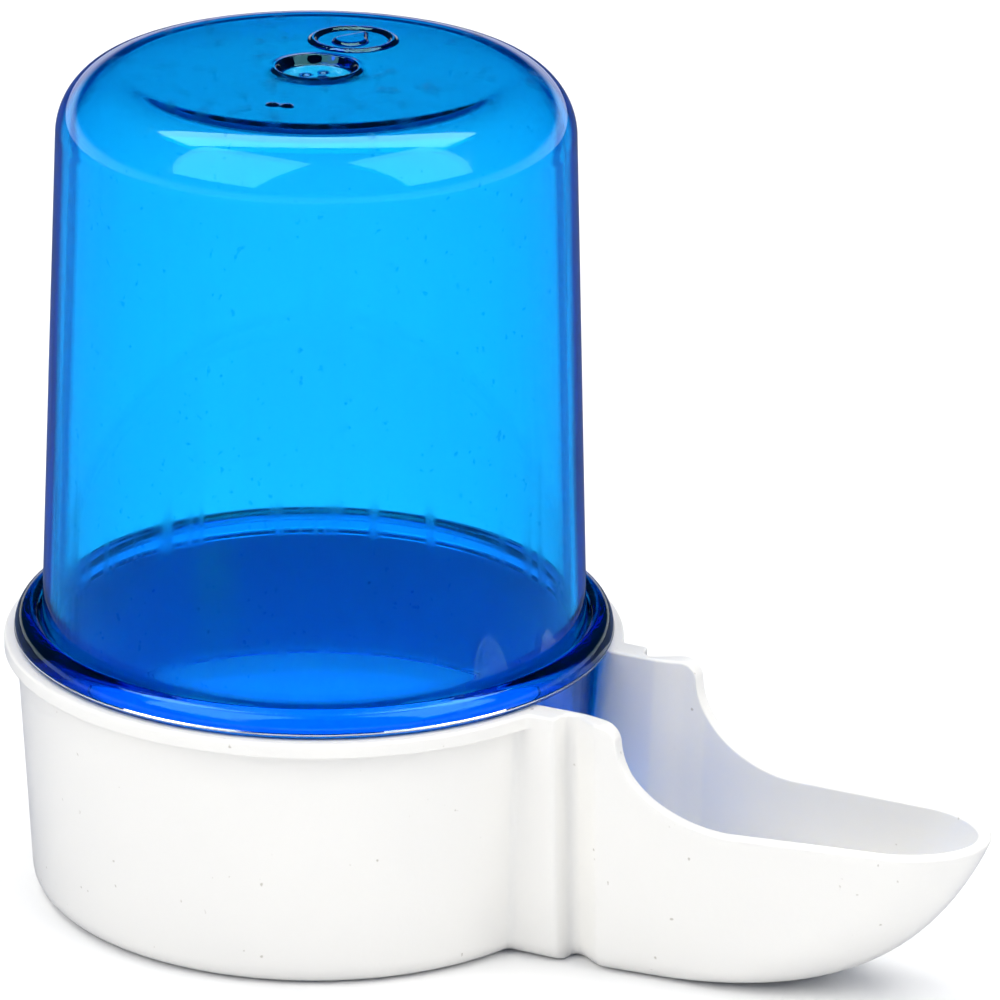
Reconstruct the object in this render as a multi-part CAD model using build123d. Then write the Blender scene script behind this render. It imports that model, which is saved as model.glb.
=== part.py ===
from build123d import *
import os
from math import cos, radians, sin, tan

# A siphon drinker for a cage: a clear cup stands mouth down in a round base whose spout is an open
# trough. Millimetres, +Z up. The origin is the middle of the base's round seat, on its underside,
# and the spout points along +X. Everything is symmetric about the plane y = 0.

# Base: driving sizes
SEAT_Z = 26.9              # top of the round wall, where the reservoir's collar rests
BASE_RADIUS = 28.45        # outside of the round wall at the underside
DRAFT = 3.4                # degrees, every moulded wall leans out by this much
BASE_WALL = 1.15
FLOOR = 1.5
BOTTOM_ROUND = 2.4         # radius along the bottom edge
LIP_RADIUS = 31.2          # outside of the band round the rim
LIP_DEPTH = 1.9
LIP_BLEND = 0.5            # the band's lower edge slopes back to the wall over this height
LIP_ROUND = 0.8

# Neck and spout: driving sizes, widths at the height of the seat
NECK_HALF_WIDTH = 11.0
NECK_INNER_HALF_WIDTH = 8.0
GROOVE_START = 32.0        # distance from the reservoir's axis to the near side of the wire groove
GROOVE_WIDTH = 4.0
GROOVE_HALF_WIDTH = 9.1    # outside of the neck at the bottom of the groove
SPOUT_HALF_WIDTH = 10.6
SPOUT_WALL = 1.3
NOSE_START = 66.4
NOSE_LENGTH = 7.7
NOSE_HALF_WIDTH = 8.0
THROAT_X = 38.4            # where the neck's top edge turns down to the trough
THROAT_CORNER = 1.8        # radius of that corner
RIM_LOW = (50.0, 17.1)     # x and z of the rim where the throat's curve ends
TIP_RIM_Z = 17.9
KEEL_FLAT_X = 50.0         # the keel is flat this far out
KEEL_ROUND = 3.4           # radius between the spout's sides and its keel

# Reservoir: driving sizes
CUP_HEIGHT = 58.8          # from the seat to the closed end
CUP_WALL = 1.4
CUP_RADIUS = 27.4          # outside, where the wall meets the collar
CUP_DRAFT = 2.05           # degrees
SHOULDER_RADIUS = 6.85     # the rounded edge of the closed end
COLLAR_RADIUS = 30.2
COLLAR_FOOT_RADIUS = 29.9
COLLAR_CREST = (28.5, 2.7)  # radius, and height over the seat, of the ridge along the collar
COLLAR_VALLEY = 1.7        # where the wall meets the collar inside that ridge, over the seat
SKIRT_RADIUS = 28.55       # outside, at the seat
SKIRT_DEPTH = 13.1         # how far the mouth reaches into the base
SKIRT_TAPER = 0.7          # the skirt is this much narrower at its mouth
SKIRT_WALL = 1.3
SKIRT_STEP = 0.9           # the inside widens by this much behind the collar
GATE_RADIUS = 4.4          # shallow moulding dimple in the middle of the closed end
GATE_DEPTH = 0.85
MARK_RADIUS = 4.3          # raised generic mark on the closed end
MARK_CENTRE = (-1.1, 9.9)
MARK_LINE = 0.6
MARK_HEIGHT = 0.3


def lean(height):
    """How far a drafted wall moves outwards over this height."""
    return height * tan(radians(DRAFT))


def round_block():
    """The base's round part as a solid, with a rounded bottom edge and a band round the rim."""
    band_z = SEAT_Z - LIP_DEPTH
    blend_z = band_z - LIP_BLEND
    round_z = BOTTOM_ROUND * (1 - sin(radians(DRAFT)))
    wall_r = BASE_RADIUS + lean(round_z)
    flat_r = wall_r - BOTTOM_ROUND * cos(radians(DRAFT))
    with BuildPart() as made:
        with BuildSketch(Plane.XZ):
            with BuildLine():
                Line((0, 0), (flat_r, 0))
                TangentArc((flat_r, 0), (wall_r, round_z), tangent=(1, 0))
                Line((wall_r, round_z), (BASE_RADIUS + lean(blend_z), blend_z))
                Polyline((BASE_RADIUS + lean(blend_z), blend_z), (LIP_RADIUS - 0.25, band_z),
                         (LIP_RADIUS, band_z + 0.3), (LIP_RADIUS, SEAT_Z - LIP_ROUND))
                TangentArc((LIP_RADIUS, SEAT_Z - LIP_ROUND), (LIP_RADIUS - LIP_ROUND, SEAT_Z),
                           tangent=(0, 1))
                Polyline((LIP_RADIUS - LIP_ROUND, SEAT_Z), (0, SEAT_Z), (0, 0))
            make_face()
        revolve(axis=Axis.Z)
    return made.part


def round_hollow():
    """The hollow of the round part, from the floor to above the rim."""
    bottom_r = BASE_RADIUS + lean(FLOOR) - BASE_WALL
    hollow = Cone(bottom_r, bottom_r + lean(SEAT_Z), SEAT_Z,
                  align=(Align.CENTER, Align.CENTER, Align.MIN))
    hollow = fillet(hollow.edges().sort_by(Axis.Z)[0], BOTTOM_ROUND - FLOOR / 2)
    return Pos(0, 0, FLOOR) * hollow


def plan_face(outline, nose_half_width, nose_length, height):
    """The neck and spout seen from above, drawn at a height over the underside. The sizes given
    are those at the seat; further down the drafted walls stand closer together."""
    lean_in = lean(SEAT_Z - height)
    right = [(x, lean_in - half_width) for x, half_width in outline]
    left = [(x, half_width - lean_in) for x, half_width in reversed(outline)]
    nose = nose_half_width - lean_in
    with BuildSketch(Plane.XY.offset(height)) as plan:
        with BuildLine():
            Polyline(*right, (NOSE_START, -nose))
            EllipticalCenterArc((NOSE_START, 0), nose_length - lean_in, nose, start_angle=-90,
                                arc_size=180)
            Polyline((NOSE_START, nose), *left, right[0])
        make_face()
    return plan.sketch


def channel(outline, nose_half_width, nose_length):
    """The neck and spout as a drafted solid from z = 0 up to the seat."""
    lower = plan_face(outline, nose_half_width, nose_length, 0)
    upper = plan_face(outline, nose_half_width, nose_length, SEAT_Z)
    return loft([lower, upper], ruled=True)


def above_keel(lift, inset):
    """Everything over the spout's keel, seen from the side: flat at first, then rising to the
    tip. A lift and an inset bring it in by a wall's thickness for the trough's hollow."""
    tip_x = NOSE_START + NOSE_LENGTH - inset
    start = (KEEL_FLAT_X - inset, lift)
    with BuildSketch(Plane.XZ.offset(-LIP_RADIUS)) as side:
        with BuildLine():
            Line((10, lift), start)
            Bezier(start, (63 - inset, lift + 0.5), (tip_x - 2.8, 9.5 + lift), (tip_x, TIP_RIM_Z))
            Polyline((tip_x, TIP_RIM_Z), (tip_x + 1.5, SEAT_Z + 1), (10, SEAT_Z + 1), (10, lift))
        make_face()
    return extrude(side.sketch, 2 * LIP_RADIUS)


def above_rim():
    """What is cut away over the spout, so that the neck's top edge drops to the open trough."""
    corner = (THROAT_X, SEAT_Z - THROAT_CORNER)
    beyond = NOSE_START + NOSE_LENGTH + 10
    with BuildSketch(Plane.XZ.offset(-LIP_RADIUS)) as side:
        with BuildLine():
            Line((THROAT_X - THROAT_CORNER, SEAT_Z + 1), (THROAT_X - THROAT_CORNER, SEAT_Z))
            TangentArc((THROAT_X - THROAT_CORNER, SEAT_Z), corner, tangent=(1, 0))
            Bezier(corner, (THROAT_X + 0.4, 20.8), (43.5, RIM_LOW[1] + 0.3), RIM_LOW)
            Polyline(RIM_LOW, (NOSE_START + NOSE_LENGTH, TIP_RIM_Z), (beyond, TIP_RIM_Z),
                     (beyond, SEAT_Z + 1), (THROAT_X - THROAT_CORNER, SEAT_Z + 1))
        make_face()
    return extrude(side.sketch, 2 * LIP_RADIUS)


def wire_groove(side):
    """The upright groove that takes a cage's wire, on one side of the neck (side is 1 or -1)."""
    far_side = GROOVE_START + GROOVE_WIDTH

    def section(height):
        lean_in = lean(SEAT_Z - height)
        bottom = GROOVE_HALF_WIDTH - lean_in
        beyond = NECK_HALF_WIDTH + 2
        points = [(GROOVE_START, beyond), (GROOVE_START + 0.1, bottom + 0.9),
                  (GROOVE_START + 0.6, bottom + 0.1), (GROOVE_START + 1.6, bottom),
                  (far_side - 0.3, SPOUT_HALF_WIDTH - lean_in - 0.3), (far_side + 1, beyond)]
        return Plane.XY.offset(height) * Polygon(*[(x, side * y) for x, y in points], align=None)

    return loft([section(-1), section(SEAT_Z + 1)], ruled=True)


def neck_inside():
    """Half-widths along the inside of the neck, which narrows where the groove is."""
    return [
        (20, NECK_INNER_HALF_WIDTH + 1.2),
        (28.9, NECK_INNER_HALF_WIDTH + 1.2),
        (30.3, NECK_INNER_HALF_WIDTH + 0.3),
        (32.0, NECK_INNER_HALF_WIDTH),
        (34.0, NECK_INNER_HALF_WIDTH),
        (37.1, NECK_INNER_HALF_WIDTH + 0.7),
        (THROAT_X + 1, SPOUT_HALF_WIDTH - SPOUT_WALL - 0.2),
    ]


def spout_block():
    """The neck and spout as a solid, rounded along the keel and both sides of the bottom."""
    outline = [(20, NECK_HALF_WIDTH), (GROOVE_START + GROOVE_WIDTH, SPOUT_HALF_WIDTH)]
    block = channel(outline, NOSE_HALF_WIDTH, NOSE_LENGTH) & above_keel(0, 0)
    below_rim = block.edges().filter_by(lambda edge: edge.center().Z < RIM_LOW[1] - 3)
    bottom_edges = below_rim.filter_by(lambda edge: abs(edge.center().Y) > 1 and not upright(edge))
    return fillet(bottom_edges, KEEL_ROUND)


def upright(edge):
    """Whether an edge runs the whole height of the neck."""
    return edge.bounding_box().size.Z > SEAT_Z - 1


def base():
    """The white base: round seat, grooved neck and open trough, moulded in one piece."""
    hollow = channel(neck_inside(), NOSE_HALF_WIDTH - SPOUT_WALL, NOSE_LENGTH - SPOUT_WALL)
    hollow = hollow & above_keel(FLOOR, SPOUT_WALL)
    solid = round_block() + spout_block() - round_hollow() - hollow - above_rim()
    return solid - wire_groove(1) - wire_groove(-1)


def reservoir():
    """The cup, standing on its mouth: skirt, collar, tapering wall and rounded closed end."""
    top_z = SEAT_Z + CUP_HEIGHT
    wall_z = SEAT_Z + COLLAR_VALLEY
    shoulder_z = top_z - SHOULDER_RADIUS
    shoulder_r = CUP_RADIUS - (shoulder_z - wall_z) * tan(radians(CUP_DRAFT))
    mouth_z = SEAT_Z - SKIRT_DEPTH
    mouth_r = SKIRT_RADIUS - SKIRT_TAPER
    flat_r = shoulder_r - SHOULDER_RADIUS
    crest_r, crest_up = COLLAR_CREST
    inner_r = shoulder_r - CUP_WALL
    inner_foot_r = CUP_RADIUS - CUP_WALL
    with BuildPart() as made:
        with BuildSketch(Plane.XZ):
            with BuildLine():
                Polyline((mouth_r - SKIRT_WALL, mouth_z), (mouth_r, mouth_z), (SKIRT_RADIUS, SEAT_Z),
                         (COLLAR_FOOT_RADIUS, SEAT_Z), (COLLAR_RADIUS, SEAT_Z + 0.6))
                Bezier((COLLAR_RADIUS, SEAT_Z + 0.6), (COLLAR_RADIUS, SEAT_Z + 1.8),
                       (crest_r + 0.5, SEAT_Z + crest_up), (crest_r, SEAT_Z + crest_up))
                Polyline((crest_r, SEAT_Z + crest_up), (crest_r - 0.6, SEAT_Z + crest_up - 0.3),
                         (CUP_RADIUS, wall_z), (shoulder_r, shoulder_z))
                CenterArc((flat_r, shoulder_z), SHOULDER_RADIUS, 0, 90)
                Polyline((flat_r, top_z), (GATE_RADIUS, top_z),
                         (GATE_RADIUS - GATE_DEPTH, top_z - GATE_DEPTH), (0, top_z - GATE_DEPTH),
                         (0, top_z - CUP_WALL - GATE_DEPTH / 2), (flat_r, top_z - CUP_WALL))
                CenterArc((flat_r, shoulder_z), SHOULDER_RADIUS - CUP_WALL, 0, 90)
                Polyline((inner_r, shoulder_z), (inner_foot_r, SEAT_Z + 2.2),
                         (inner_foot_r + SKIRT_STEP, SEAT_Z + 0.2), (mouth_r - SKIRT_WALL, mouth_z))
            make_face()
        revolve(axis=Axis.Z)
    return made.part + closed_end_mark(top_z)


def closed_end_mark(top_z):
    """A raised ring round a raised drop, off to one side of the closed end."""
    ring = Circle(MARK_RADIUS) - Circle(MARK_RADIUS - MARK_LINE)
    drop = Circle(MARK_RADIUS * 0.38) + Polygon(
        (-MARK_RADIUS * 0.34, MARK_RADIUS * 0.17), (MARK_RADIUS * 0.34, MARK_RADIUS * 0.17),
        (0, MARK_RADIUS * 0.8), align=None)
    sketch = Pos(*MARK_CENTRE, top_z - 0.1) * (ring + Pos(0, -MARK_RADIUS * 0.15) * drop)
    return extrude(sketch, MARK_HEIGHT + 0.1)


def check_and_write(name, solid):
    solids = solid.solids()
    assert len(solids) == 1 and solids[0].is_valid, name + " is not one sound solid"
    export_step(solids[0], "parts/" + name + ".step")
    print(name, round(solids[0].volume), solids[0].bounding_box())


os.makedirs("parts", exist_ok=True)
check_and_write("base", base())
check_and_write("reservoir", reservoir())
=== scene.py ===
"""Looks of a cage bird's siphon drinker: a clear blue cup standing mouth down in a white base with
an open trough. Sizes in this file are millimetres until mesh_object() turns them into metres."""
from math import atan2, cos, hypot, pi, radians, sin, sqrt, tan

import bpy
from mathutils import Matrix, Vector

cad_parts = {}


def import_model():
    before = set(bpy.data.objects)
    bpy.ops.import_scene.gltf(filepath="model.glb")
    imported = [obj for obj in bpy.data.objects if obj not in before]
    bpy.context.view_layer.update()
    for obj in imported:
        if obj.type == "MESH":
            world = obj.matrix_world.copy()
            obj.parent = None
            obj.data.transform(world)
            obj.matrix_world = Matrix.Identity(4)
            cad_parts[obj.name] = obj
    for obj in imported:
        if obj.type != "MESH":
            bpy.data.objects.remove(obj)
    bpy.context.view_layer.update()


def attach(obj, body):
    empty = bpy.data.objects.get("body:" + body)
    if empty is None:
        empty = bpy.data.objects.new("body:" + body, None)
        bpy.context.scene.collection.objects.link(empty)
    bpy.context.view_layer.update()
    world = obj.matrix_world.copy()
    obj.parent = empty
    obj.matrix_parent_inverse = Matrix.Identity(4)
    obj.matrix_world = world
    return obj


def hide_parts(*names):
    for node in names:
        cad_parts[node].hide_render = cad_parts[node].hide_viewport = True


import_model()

MM = 0.001
WHITE = (1, 1, 1)

# Shared frame: the seat is the plane where the reservoir's collar rests on the base
SEAT_Z = 26.9

# Base
BASE_RADIUS = 28.45        # outside of the round wall, at the underside
DRAFT = 3.4                # degrees, all walls of the base lean outwards
BASE_WALL = 1.15
FLOOR = 1.5
BOTTOM_ROUND = 2.2
LIP_RADIUS = 31.2
LIP_DEPTH = 1.9
NECK_HALF_WIDTH = 11.0
NECK_INNER_HALF_WIDTH = 8.0
GROOVE_START = 32.0
GROOVE_END = 36.2
GROOVE_HALF_WIDTH = 9.0
SPOUT_HALF_WIDTH = 10.6
SPOUT_WALL = 1.3
OUTER_CORNER = 0.7         # reach of the rounded corner between seat and neck, outside
INNER_CORNER = 1.7         # and inside
THROAT_X = 38.4            # where the neck's top edge turns down to the trough
THROAT_CORNER = 1.8
NOSE_X = 66.0              # the straight sides end here at the rim
NOSE_HALF_WIDTH = 7.5
TIP_X = 73.5
RIM_LOW = (50.0, 17.1)     # x and z of the rim where the throat's curve ends
TIP_Z = 17.9
KEEL = [(50.0, 0.0), (63.0, 0.4), (70.2, 9.5), (TIP_X, TIP_Z)]
LOW_NOSE_LENGTH = 11.0     # the nose's length at the keel
LOW_NOSE_Z = 14.0          # above this height the nose is as blunt as at the rim
EDGE_ROUND = 0.32          # radius along the rim's edges

# Reservoir
CUP_TOP = 85.7
CUP_WALL = 1.4
CUP_RADIUS = 27.4          # outside, where the wall meets the collar
CUP_FOOT = 28.6            # height of that meeting
CUP_DRAFT = 2.05           # degrees, the wall leans inwards
SHOULDER_RADIUS = 6.85
COLLAR_RADIUS = 30.2
SKIRT_RADIUS = 28.55
SKIRT_MOUTH_RADIUS = 27.85
SKIRT_MOUTH = 13.8
SKIRT_WALL = 1.3
SKIRT_STEP = 0.9           # the inside widens by this much behind the collar
GATE_RADIUS = 4.4          # the shallow moulding dimple in the middle of the closed end
GATE_DEPTH = 0.85
GATE_LIP = 0.12            # height of the ring round the dimple
MARK_CENTRE = (-1.1, 9.9)  # the raised generic mark on the closed end
MARK_RADIUS = 4.3
MARK_LINE = 0.6
MARK_HEIGHT = 0.3
DOTS = [(2.2, -13.4), (3.6, -13.1), (-0.9, -0.5), (0.2, 0.9), (1.0, -0.6)]
DOT_RADIUS = 0.45          # small raised dots on the closed end
DOT_HEIGHT = 0.22
AROUND = 384               # columns round the reservoir


# ---------------------------------------------------------------- curves

def bezier(points, t):
    """A point on the cubic curve with these four control points."""
    a, b, c, d = [Vector(p) for p in points]
    s = 1 - t
    return a * s ** 3 + b * 3 * s * s * t + c * 3 * s * t * t + d * t ** 3


def steps(first, last, count):
    """count evenly spaced numbers, both ends included."""
    return [first + (last - first) * i / (count - 1) for i in range(count)]


def mix(a, b, share):
    return a + (b - a) * share


def smooth(value):
    value = min(max(value, 0.0), 1.0)
    return value * value * (3 - 2 * value)


def table(pairs, x):
    """Straight-line reading of a list of (x, value) pairs."""
    if x <= pairs[0][0]:
        return pairs[0][1]
    for (x0, v0), (x1, v1) in zip(pairs, pairs[1:]):
        if x <= x1:
            return mix(v0, v1, (x - x0) / (x1 - x0))
    return pairs[-1][1]


def rounded(corners, spacing=1.0):
    """A profile through (r, z, radius) corners, each replaced by a curve that starts radius away,
    with the straight runs cut into pieces no longer than spacing."""
    path = []
    for i, (r, z, radius) in enumerate(corners):
        here = Vector((r, z))
        if radius == 0 or i in (0, len(corners) - 1):
            path.append(here)
            continue
        before = (Vector(corners[i - 1][:2]) - here).normalized() * radius
        after = (Vector(corners[i + 1][:2]) - here).normalized() * radius
        for t in steps(0, 1, 7):
            path.append(here + before * (1 - t) ** 2 + after * t ** 2)
    dense = [path[0]]
    for a, b in zip(path, path[1:]):
        pieces = max(1, int((b - a).length / spacing))
        dense += [a.lerp(b, (k + 1) / pieces) for k in range(pieces)]
    return dense


# ---------------------------------------------------------------- mesh helpers

def mesh_object(name, points, faces, material, body, node):
    """A smooth mesh of points in millimetres that stands for a CAD node and moves with a body."""
    mesh = bpy.data.meshes.new(name)
    mesh.from_pydata([Vector(p) * MM for p in points], [], faces)
    mesh.polygons.foreach_set("use_smooth", [True] * len(faces))
    mesh.materials.append(material)
    mesh.update()
    piece = bpy.data.objects.new(name, mesh)
    bpy.context.scene.collection.objects.link(piece)
    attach(piece, body)
    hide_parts(node)
    return piece


# ---------------------------------------------------------------- reservoir

def shoulder_curve(inset):
    """The rounded shoulder as points from the closed end down to the wall."""
    shoulder_z = CUP_TOP - SHOULDER_RADIUS
    shoulder_r = CUP_RADIUS - (shoulder_z - CUP_FOOT) * tan(radians(CUP_DRAFT))
    flat_r = shoulder_r - SHOULDER_RADIUS
    radius = SHOULDER_RADIUS - inset
    return [(flat_r + radius * sin(a), shoulder_z + radius * cos(a), 0) for a in steps(0, pi / 2, 28)]


def outside_profile():
    """Radius and height from the middle of the closed end down to the mouth."""
    corners = [(0, CUP_TOP - GATE_DEPTH, 0), (GATE_RADIUS - 0.9, CUP_TOP - GATE_DEPTH, 0.3),
               (GATE_RADIUS - 0.35, CUP_TOP + GATE_LIP, 0.25), (GATE_RADIUS + 0.3, CUP_TOP, 0.4)]
    corners += shoulder_curve(0)
    corners += [(CUP_RADIUS, CUP_FOOT, 0.25), (27.9, 29.3, 0.2), (28.5, 29.6, 0.25),
                (29.6, 29.3, 0.6), (COLLAR_RADIUS, 28.1, 0.7), (COLLAR_RADIUS, 27.4, 0.25),
                (COLLAR_RADIUS - 0.3, SEAT_Z, 0.2), (SKIRT_RADIUS, SEAT_Z, 0.15),
                (SKIRT_MOUTH_RADIUS, SKIRT_MOUTH, 0.3),
                (SKIRT_MOUTH_RADIUS - SKIRT_WALL, SKIRT_MOUTH, 0)]
    return rounded(corners, 0.22)


def inside_profile():
    """Radius and height from the mouth up to the middle of the closed end."""
    inner_top = CUP_TOP - CUP_WALL
    corners = [(SKIRT_MOUTH_RADIUS - SKIRT_WALL, SKIRT_MOUTH, 0),
               (CUP_RADIUS - CUP_WALL + SKIRT_STEP, SEAT_Z + 0.2, 0.8),
               (CUP_RADIUS - CUP_WALL, SEAT_Z + 2.2, 0.8)]
    corners += shoulder_curve(CUP_WALL)[::-1]
    corners += [(GATE_RADIUS + 1, inner_top, 0.5), (0, inner_top - 0.3, 0)]
    return rounded(corners, 0.4)[1:]


def drop_distance(x, y):
    """How far outside the mark's drop a point is, measured from the mark's middle."""
    bulb = hypot(x, y + MARK_RADIUS * 0.15) - MARK_RADIUS * 0.38
    tip = MARK_RADIUS * 0.65
    if y < 0:
        return bulb
    if y > tip:
        return hypot(x, y - tip)
    return min(bulb, abs(x) - (tip - y) * 0.5)


def relief(x, y):
    """Height of the raised details moulded on the closed end."""
    from_mark = (x - MARK_CENTRE[0], y - MARK_CENTRE[1])
    ring = abs(hypot(*from_mark) - MARK_RADIUS + MARK_LINE / 2) - MARK_LINE / 2
    height = MARK_HEIGHT * smooth(0.5 - min(ring, drop_distance(*from_mark)) / 0.35)
    for dot_x, dot_y in DOTS:
        height += DOT_HEIGHT * smooth(0.5 - (hypot(x - dot_x, y - dot_y) - DOT_RADIUS) / 0.4)
    return height


def reservoir(material):
    """The cup: one closed surface turned round its axis, with the relief on its closed end."""
    outside = outside_profile()
    profile = outside + inside_profile()
    rings = profile[1:-1]
    points = [(0, 0, profile[0].y)]
    for level, (r, z) in enumerate(rings):
        on_closed_end = level < len(outside) and z > CUP_TOP - 1
        for i in range(AROUND):
            a = 2 * pi * i / AROUND
            x, y = r * cos(a), r * sin(a)
            points.append((x, y, z + relief(x, y) if on_closed_end else z))
    points.append((0, 0, profile[-1].y))
    last = len(points) - 1
    faces = []
    for i in range(AROUND):
        j = (i + 1) % AROUND
        faces.append((0, 1 + i, 1 + j))
        faces.append((last, last - AROUND + j, last - AROUND + i))
        for ring in range(len(rings) - 1):
            near = 1 + ring * AROUND
            far = near + AROUND
            faces.append((near + i, far + i, far + j, near + j))
    return mesh_object("reservoir_cup", points, faces, material, "reservoir_body", "reservoir")


# ---------------------------------------------------------------- base

def lean(height):
    """How far a drafted wall moves outwards over this height."""
    return height * tan(radians(DRAFT))


def bottom_inset(above, radius):
    """How far a rounded bottom edge pulls a wall in at this height above its floor."""
    if above >= radius:
        return 0.0
    return radius - sqrt(max(0.0, radius ** 2 - (radius - above) ** 2))


def circle_radius(z, inner):
    """Radius of the round wall at a height, inside or outside."""
    radius = BASE_RADIUS + lean(z)
    if inner:
        return radius - BASE_WALL - bottom_inset(z - FLOOR, 1.2)
    lip = smooth((z - (SEAT_Z - LIP_DEPTH)) / 0.45)
    return mix(radius, LIP_RADIUS, lip) - bottom_inset(z, BOTTOM_ROUND)


OUTER_HALF_WIDTHS = [
    (20, NECK_HALF_WIDTH), (GROOVE_START - 0.25, NECK_HALF_WIDTH),
    (GROOVE_START, NECK_HALF_WIDTH - 0.15), (GROOVE_START + 0.25, GROOVE_HALF_WIDTH + 0.6),
    (GROOVE_START + 0.6, GROOVE_HALF_WIDTH + 0.1), (GROOVE_START + 1.0, GROOVE_HALF_WIDTH),
    (GROOVE_START + 1.6, GROOVE_HALF_WIDTH + 0.05), (GROOVE_END - 0.5, SPOUT_HALF_WIDTH - 0.25),
    (GROOVE_END, SPOUT_HALF_WIDTH), (GROOVE_END + 0.6, SPOUT_HALF_WIDTH),
    (NOSE_X, NOSE_HALF_WIDTH + 0.5), (TIP_X, NOSE_HALF_WIDTH - 0.2),
]
INNER_HALF_WIDTHS = [
    (20, NECK_INNER_HALF_WIDTH), (34.0, NECK_INNER_HALF_WIDTH), (35.6, NECK_INNER_HALF_WIDTH + 0.3),
    (37.1, NECK_INNER_HALF_WIDTH + 0.7), (39.5, SPOUT_HALF_WIDTH - SPOUT_WALL - 0.3),
    (NOSE_X, NOSE_HALF_WIDTH + 0.5 - SPOUT_WALL), (TIP_X, NOSE_HALF_WIDTH - 0.2 - SPOUT_WALL),
]


def half_width(x, z, inner):
    """Half-width of the neck and spout at a distance along it and a height."""
    if inner:
        return table(INNER_HALF_WIDTHS, x) - lean(SEAT_Z - z) - bottom_inset(z - FLOOR, 1.4)
    return table(OUTER_HALF_WIDTHS, x) - lean(SEAT_Z - z) - bottom_inset(z, BOTTOM_ROUND)


def keel_tip(z, inner):
    """How far out the spout reaches at this height."""
    lift = FLOOR if inner else 0.0
    inset = SPOUT_WALL if inner else 0.0
    low, high = 0.0, 1.0
    curve = [(x - inset, mix(lift, TIP_Z, y / TIP_Z)) for x, y in KEEL]
    for _ in range(24):
        middle = (low + high) / 2
        if bezier(curve, middle).y < z:
            low = middle
        else:
            high = middle
    return bezier(curve, high).x


def nose_length(z):
    """The nose is long and pointed low down and blunt at the rim."""
    return mix(LOW_NOSE_LENGTH, TIP_X - NOSE_X, smooth(z / LOW_NOSE_Z))


def rim_curve():
    """The top edge along one side of the neck and spout as x, z and the edge's outward normal."""
    start = THROAT_X - THROAT_CORNER
    path = [Vector((x, SEAT_Z)) for x in steps(GROOVE_END + 0.2, start, 2)]
    corner = (start, SEAT_Z - THROAT_CORNER)
    path += [Vector((corner[0] + THROAT_CORNER * sin(a), corner[1] + THROAT_CORNER * cos(a)))
             for a in steps(0.2, pi / 2, 7)]
    drop = [path[-1], (THROAT_X + 0.4, 20.8), (43.5, RIM_LOW[1] + 0.3), RIM_LOW]
    path += [bezier(drop, t) for t in steps(0, 1, 27)[1:]]
    path += [Vector(RIM_LOW).lerp(Vector((NOSE_X, mix(RIM_LOW[1], TIP_Z, 0.7))), t)
             for t in steps(0, 1, 15)[1:]]
    columns = []
    for i, point in enumerate(path):
        along = (path[min(i + 1, len(path) - 1)] - path[max(i - 1, 0)]).normalized()
        columns.append((point.x, point.y, Vector((-along.y, along.x))))
    return columns


CIRCLE_COLUMNS = 220
CORNER_COLUMNS = 7
NOSE_COLUMNS = 21          # on each side, the last one on the middle line
NECK_XS = steps(30.2, GROOVE_START - 0.3, 5) + steps(GROOVE_START - 0.2, GROOVE_END, 20)
RIM = rim_curve()


def corner_points(z, inner):
    """The rounded corner where the round wall turns into the neck: circle end, corner, neck end."""
    radius = circle_radius(z, inner)
    reach = INNER_CORNER if inner else OUTER_CORNER
    width = half_width(28.5, z, inner)
    corner_x = sqrt(radius ** 2 - width ** 2)
    turn = reach / radius
    angle = atan2(width, corner_x) + turn
    return Vector((radius * cos(angle), radius * sin(angle))), Vector((corner_x, width)), angle, reach


def neck_x(x, start):
    """A column's place along the neck, stretched so that the first ones begin at start."""
    if x >= GROOVE_START:
        return x
    first = NECK_XS[0] - 0.2
    return mix(start, GROOVE_START, (x - first) / (GROOVE_START - first))


def side_columns(z_of, inner):
    """Points (x, y, z) along the +Y side from the back of the round wall to the tip. z_of gives
    a column's height from its rim height."""
    points = []
    z = z_of(SEAT_Z)
    first, corner, angle, reach = corner_points(z, inner)
    for a in steps(pi, angle, CIRCLE_COLUMNS):
        radius = circle_radius(z, inner)
        points.append((radius * cos(a), radius * sin(a), z))
    last_x = corner.x + reach
    last = Vector((last_x, half_width(last_x, z, inner)))
    for t in steps(0, 1, CORNER_COLUMNS + 1)[1:]:
        p = first * (1 - t) ** 2 + corner * 2 * t * (1 - t) + last * t ** 2
        points.append((p.x, p.y, z))
    for column_x in NECK_XS:
        x = neck_x(column_x, last_x)
        points.append((x, half_width(x, z, inner), z))
    for i, (rim_x, rim_z, _) in enumerate(RIM):
        z = z_of(rim_z)
        share = i / (len(RIM) - 1)
        reach_now = keel_tip(z, inner) - nose_length(z)
        reach_rim = keel_tip(rim_z, inner) - nose_length(rim_z)
        on_rim = mix(GROOVE_END, reach_rim, (rim_x - GROOVE_END) / (NOSE_X - GROOVE_END))
        on_rim = mix(GROOVE_END, reach_now, (on_rim - GROOVE_END) / (reach_rim - GROOVE_END))
        even = mix(GROOVE_END, reach_now, share)
        x = mix(even, on_rim, smooth(z / rim_z) ** 0.5)
        points.append((x, half_width(x, z, inner), z))
    for k in range(1, NOSE_COLUMNS):
        turn = k / (NOSE_COLUMNS - 1) * pi / 2
        rim_z = mix(RIM[-1][1], TIP_Z, sin(turn))
        z = z_of(rim_z)
        tip = keel_tip(z, inner)
        length = nose_length(z)
        x = tip - length + length * sin(turn)
        points.append((x, half_width(x, z, inner) * cos(turn), z))
    return points


def full_ring(z_of, inner):
    """The whole outline at one level: the +Y side, then the -Y side back again."""
    side = side_columns(z_of, inner)
    return side + [(x, -y, z) for x, y, z in side[-2:0:-1]]


LEVELS = [t ** 1.9 for t in steps(0, 1, 26)]
LEVELS_TOP = 2.3           # the even levels end this far under the rim
BELOW_RIM = (2.1, 1.95, 1.85, 1.75, 1.6, 1.45, 1.3, 1.0, 0.7)


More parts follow.
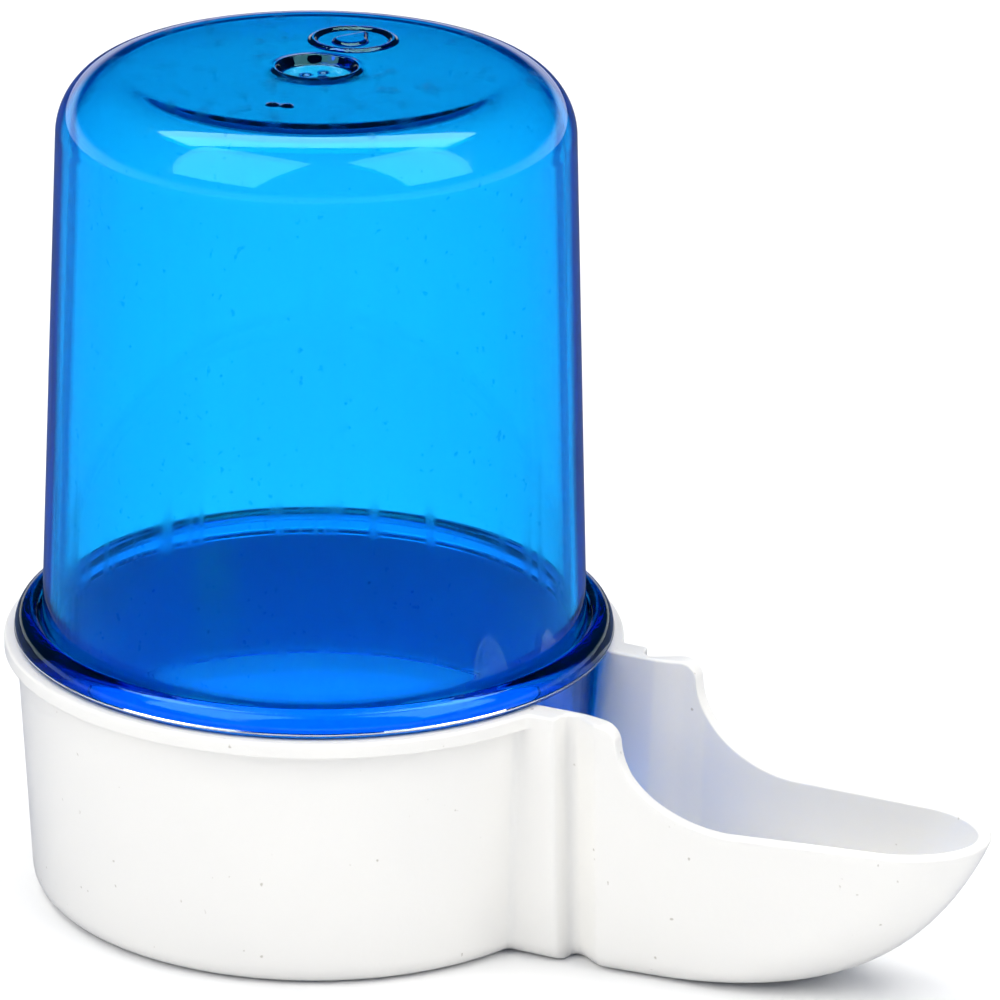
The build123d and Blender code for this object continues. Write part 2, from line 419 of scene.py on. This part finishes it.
def wall_rings(inner):
    """Outlines from the floor up to just under the rim's rounding."""
    floor = FLOOR if inner else 0.0
    rings = [full_ring(lambda rim, s=share: floor + (rim - LEVELS_TOP - floor) * s, inner)
             for share in LEVELS]
    rings += [full_ring(lambda rim, b=below: rim - b, inner) for below in BELOW_RIM]
    return rings


def moved(ring, towards, inward, up):
    """A ring shifted level towards another ring and up, to round the rim's edge."""
    shifted = []
    for p, q in zip(ring, towards):
        level = Vector((q[0] - p[0], q[1] - p[1])).normalized()
        shifted.append((p[0] + level.x * inward, p[1] + level.y * inward, p[2] + up))
    return shifted


def base(material):
    """The base: one closed surface from the underside over the rim down to the inside floor."""
    outer = wall_rings(False)
    inner = wall_rings(True)
    outer_top = full_ring(lambda rim: rim - EDGE_ROUND, False)
    inner_top = full_ring(lambda rim: rim - EDGE_ROUND, True)
    over = []
    for k in range(6):
        a = k / 5 * pi / 2
        over.append((EDGE_ROUND * (1 - cos(a)), EDGE_ROUND * (sin(a) - 1) + EDGE_ROUND))
    rings = outer + [outer_top]
    for inward, up in over[1:]:
        rings.append(moved(outer_top, inner_top, inward, up))
    for inward, up in over[:0:-1]:
        rings.append(moved(inner_top, outer_top, inward, up))
    rings += [inner_top] + inner[::-1]
    count = len(outer_top)
    points = [p for ring in rings for p in ring]
    faces = [tuple(range(count))]
    for level in range(len(rings) - 1):
        near = level * count
        far = near + count
        for i in range(count):
            j = (i + 1) % count
            faces.append((near + i, far + i, far + j, near + j))
    last = len(points) - count
    faces.append(tuple(last + i for i in reversed(range(count))))
    return mesh_object("base_body_shell", points, faces, material, "base_body", "base")


# ---------------------------------------------------------------- materials

SPECULAR_TINT = (0.2, 0.8, 1.0, 1)
# painted shade: the glass's base colour goes from white to dark navy where its surface is seen edge
# on
EDGE_SHADE_STOPS = [(0.72, WHITE), (0.78, (0.01, 0.03, 0.22)), (0.88, (0.01, 0.03, 0.22))]
CLEAR_BLUE = (0.0, 0.85, 0.992, 1)
ABSORPTION_DENSITY = 1900  # per metre, so a wall 1.4 mm thick is already well coloured


def new_material(name):
    material = bpy.data.materials.new(name)
    material.use_nodes = True
    return material, material.node_tree.nodes, material.node_tree.links


def noise_texture(nodes, links, scale, detail, stretch=(1, 1, 1), turn=(0, 0, 0)):
    """Noise in the object's own coordinates, its scale counted per metre."""
    where = nodes.new("ShaderNodeTexCoord")
    placing = nodes.new("ShaderNodeMapping")
    placing.inputs["Scale"].default_value = stretch
    placing.inputs["Rotation"].default_value = turn
    texture = nodes.new("ShaderNodeTexNoise")
    texture.inputs["Scale"].default_value = scale
    texture.inputs["Detail"].default_value = detail
    links.new(where.outputs["Object"], placing.inputs["Vector"])
    links.new(placing.outputs[0], texture.inputs["Vector"])
    return texture.outputs["Fac"]


def ramp(nodes, links, value, stops):
    """A colour ramp over a value; stops are (position, colour) pairs."""
    node = nodes.new("ShaderNodeValToRGB")
    elements = node.color_ramp.elements
    for place, (position, color) in enumerate(stops):
        element = elements[place] if place < 2 else elements.new(position)
        element.position = position
        element.color = (*color, 1)
    links.new(value, node.inputs[0])
    return node.outputs["Color"]


def multiply(nodes, links, first, second):
    node = nodes.new("ShaderNodeMix")
    node.data_type = "RGBA"
    node.blend_type = "MULTIPLY"
    node.inputs["Factor"].default_value = 1
    links.new(first, node.inputs["A"])
    links.new(second, node.inputs["B"])
    return node.outputs["Result"]


def bump(nodes, links, height, strength, distance):
    node = nodes.new("ShaderNodeBump")
    node.inputs["Strength"].default_value = strength
    node.inputs["Distance"].default_value = distance
    links.new(height, node.inputs["Height"])
    return node.outputs["Normal"]


def clear_blue():
    """Clear blue polystyrene, coloured by what its depth takes out of the light, with painted shade
    where it is seen edge on, fine scratches and a little dust."""
    material, nodes, links = new_material("clear_blue_plastic")
    shader = nodes["Principled BSDF"]
    shader.inputs["IOR"].default_value = 1.58
    shader.inputs["Transmission Weight"].default_value = 1
    shader.inputs["Specular Tint"].default_value = SPECULAR_TINT
    # painted shade: Layer Weight turns the base colour dark navy at grazing angles, so the cup's rims
    # look deep blue
    facing = nodes.new("ShaderNodeLayerWeight").outputs["Facing"]
    edge = ramp(nodes, links, facing, EDGE_SHADE_STOPS)
    dust = noise_texture(nodes, links, 900, 2)
    specks = ramp(nodes, links, dust, [(0.70, WHITE), (0.76, (0.45, 0.72, 0.85))])
    links.new(multiply(nodes, links, edge, specks), shader.inputs["Base Color"])
    streaks = noise_texture(nodes, links, 420, 3, (1, 1, 0.05), (0.5, 0.35, 0.2))
    worn = ramp(nodes, links, streaks, [(0.52, (0.015,) * 3), (0.72, (0.2,) * 3)])
    links.new(worn, shader.inputs["Roughness"])
    ripple = noise_texture(nodes, links, 55, 1)
    links.new(bump(nodes, links, ripple, 0.25, 0.0002), shader.inputs["Normal"])
    volume = nodes.new("ShaderNodeVolumeAbsorption")
    volume.inputs["Color"].default_value = CLEAR_BLUE
    volume.inputs["Density"].default_value = ABSORPTION_DENSITY
    links.new(volume.outputs[0], nodes["Material Output"].inputs["Volume"])
    return material


def white_plastic():
    """Satin white polypropylene with a faint flow pattern, fine grain and a few grey specks."""
    material, nodes, links = new_material("white_polypropylene")
    shader = nodes["Principled BSDF"]
    flow = ramp(nodes, links, noise_texture(nodes, links, 30, 0, (1, 1, 0.4)),
                [(0.2, (0.865, 0.85, 0.815)), (0.8, (0.85, 0.835, 0.80))])
    specks = ramp(nodes, links, noise_texture(nodes, links, 1100, 1),
                  [(0.77, WHITE), (0.82, (0.66, 0.64, 0.60))])
    links.new(multiply(nodes, links, flow, specks), shader.inputs["Base Color"])
    gloss = ramp(nodes, links, noise_texture(nodes, links, 40, 1),
                 [(0.2, (0.27,) * 3), (0.8, (0.34,) * 3)])
    links.new(gloss, shader.inputs["Roughness"])
    grain = noise_texture(nodes, links, 1500, 2)
    links.new(bump(nodes, links, grain, 0.25, 0.00005), shader.inputs["Normal"])
    return material


def floor_material():
    """Pale paper. Beyond the lamps' reach it glows, so that it stays pale up to the horizon."""
    material, nodes, links = new_material("studio_floor")
    shader = nodes["Principled BSDF"]
    shader.inputs["Base Color"].default_value = (0.92, 0.92, 0.92, 1)
    shader.inputs["Roughness"].default_value = 0.9
    where = nodes.new("ShaderNodeTexCoord")
    distance = nodes.new("ShaderNodeVectorMath")
    distance.operation = "LENGTH"
    links.new(where.outputs["Object"], distance.inputs[0])
    share = nodes.new("ShaderNodeMath")
    share.operation = "MULTIPLY"
    share.inputs[1].default_value = 1 / FLOOR_SIZE
    links.new(distance.outputs["Value"], share.inputs[0])
    glow = ramp(nodes, links, share.outputs[0], [(0.07, (0, 0, 0)), (0.25, WORLD_HORIZON)])
    links.new(glow, shader.inputs["Emission Color"])
    shader.inputs["Emission Strength"].default_value = 1
    return material


def card_material():
    material, nodes, _ = new_material("dark_card")
    shader = nodes["Principled BSDF"]
    shader.inputs["Base Color"].default_value = (0.07, 0.10, 0.19, 1)
    shader.inputs["Roughness"].default_value = 1
    shader.inputs["Specular IOR Level"].default_value = 0
    return material


# ---------------------------------------------------------------- studio

FLOOR_SIZE = 6.0           # metres from the middle to each side
CARD_SIZE = 1.5
CARD_HEIGHT = 0.0001       # metres over the floor
WORLD_HORIZON = (0.97, 0.97, 0.97)
WORLD_ABOVE = (0.0, 0.04, 0.15)
LAMP_COLOR = (1.0, 0.98, 0.915)
GLOW_COLOR = (0.0, 0.16, 1.0)
VIEW_AZIMUTH = 27.45       # the side the camera stands on, for placing the lamps


def level_square(name, size, height, material):
    mesh = bpy.data.meshes.new(name)
    mesh.from_pydata([(-size, -size, height), (size, -size, height), (size, size, height),
                      (-size, size, height)], [], [(0, 1, 2, 3)])
    mesh.materials.append(material)
    square = bpy.data.objects.new(name, mesh)
    bpy.context.scene.collection.objects.link(square)
    return square


def studio():
    """A pale floor, and a dark card on it that shows only in reflections: it keeps the floor's
    glare off the cup, so that the cup's edges stay deep blue."""
    level_square("studio_floor", FLOOR_SIZE, 0.0, floor_material())
    card = level_square("dark_card", CARD_SIZE, CARD_HEIGHT, card_material())
    card.visible_camera = False
    card.visible_diffuse = False
    card.visible_transmission = False
    card.visible_shadow = False


def lamp_object(name, place, target, width, height, power, color):
    """A rectangular lamp at a place, facing a target."""
    lamp = bpy.data.lights.new(name, "AREA")
    lamp.shape = "RECTANGLE"
    lamp.size = width
    lamp.size_y = height
    lamp.energy = power
    lamp.color = color
    made = bpy.data.objects.new(name, lamp)
    made.location = place
    made.rotation_euler = (target - place).to_track_quat("-Z", "Y").to_euler()
    bpy.context.scene.collection.objects.link(made)
    return made


def softbox(name, azimuth, elevation, width, height, power):
    """A large lamp a metre from the cup. Azimuth 0 is in front, at -Y, and turns towards +X."""
    target = Vector((0, 0, 0.05))
    a, e = radians(azimuth), radians(elevation)
    place = target + Vector((sin(a) * cos(e), -cos(a) * cos(e), sin(e)))
    lamp_object(name, place, target, width, height, power, LAMP_COLOR)


def blue_glow(name, place, target, size, power):
    """A small hidden lamp, its place in millimetres. It stands in for light that the real cup
    colours and passes on, which the renderer doesn't carry through the plastic."""
    lamp = lamp_object(name, Vector(place) * MM, Vector(target) * MM, size * MM, size * MM, power,
                       GLOW_COLOR)
    lamp.visible_camera = False
    lamp.visible_glossy = False
    lamp.visible_transmission = False


def world():
    """A light band round the horizon with a dark blue studio above it."""
    scene_world = bpy.data.worlds.new("studio_world")
    scene_world.use_nodes = True
    nodes = scene_world.node_tree.nodes
    links = scene_world.node_tree.links
    where = nodes.new("ShaderNodeTexCoord")
    split = nodes.new("ShaderNodeSeparateXYZ")
    links.new(where.outputs["Generated"], split.inputs[0])
    shade = ramp(nodes, links, split.outputs["Z"], [(0.08, WORLD_HORIZON), (0.16, WORLD_ABOVE)])
    links.new(shade, nodes["Background"].inputs["Color"])
    bpy.context.scene.world = scene_world


CAMERA_PLACE = (284.96, -548.55, 269.36)
CAMERA_AZIMUTH = 25.736    # degrees, turned from +Y towards -X
CAMERA_PITCH = 20.298      # degrees, looking down
CAMERA_ROLL = 0.828
CAMERA_LENS = 237.07


def camera():
    """A long lens with no shift and no depth of field."""
    data = bpy.data.cameras.new("camera")
    data.lens = CAMERA_LENS
    data.sensor_width = 36
    data.clip_start = 0.01
    placed = bpy.data.objects.new("camera", data)
    turned = (Matrix.Rotation(radians(CAMERA_AZIMUTH), 4, "Z")
              @ Matrix.Rotation(radians(90 - CAMERA_PITCH), 4, "X")
              @ Matrix.Rotation(radians(CAMERA_ROLL), 4, "Z"))
    placed.matrix_world = Matrix.Translation(Vector(CAMERA_PLACE) * MM) @ turned
    bpy.context.scene.collection.objects.link(placed)
    bpy.context.scene.camera = placed


reservoir(clear_blue())
base(white_plastic())
studio()
world()
softbox("key_left", VIEW_AZIMUTH - 47, 45, 0.75, 0.9, 7.2)
softbox("key_right", VIEW_AZIMUTH + 57, 43, 0.6, 0.9, 5.6)
softbox("overhead", VIEW_AZIMUTH + 180, 78, 1.4, 0.4, 11)
blue_glow("glow_in_cup", (0, 0, 78), (0, 0, 0), 30, 0.11)
blue_glow("glow_in_neck", (29.5, 0, 20), (60, 0, 12), 10, 0.00006)
camera()
bpy.context.scene.view_settings.view_transform = "Standard"
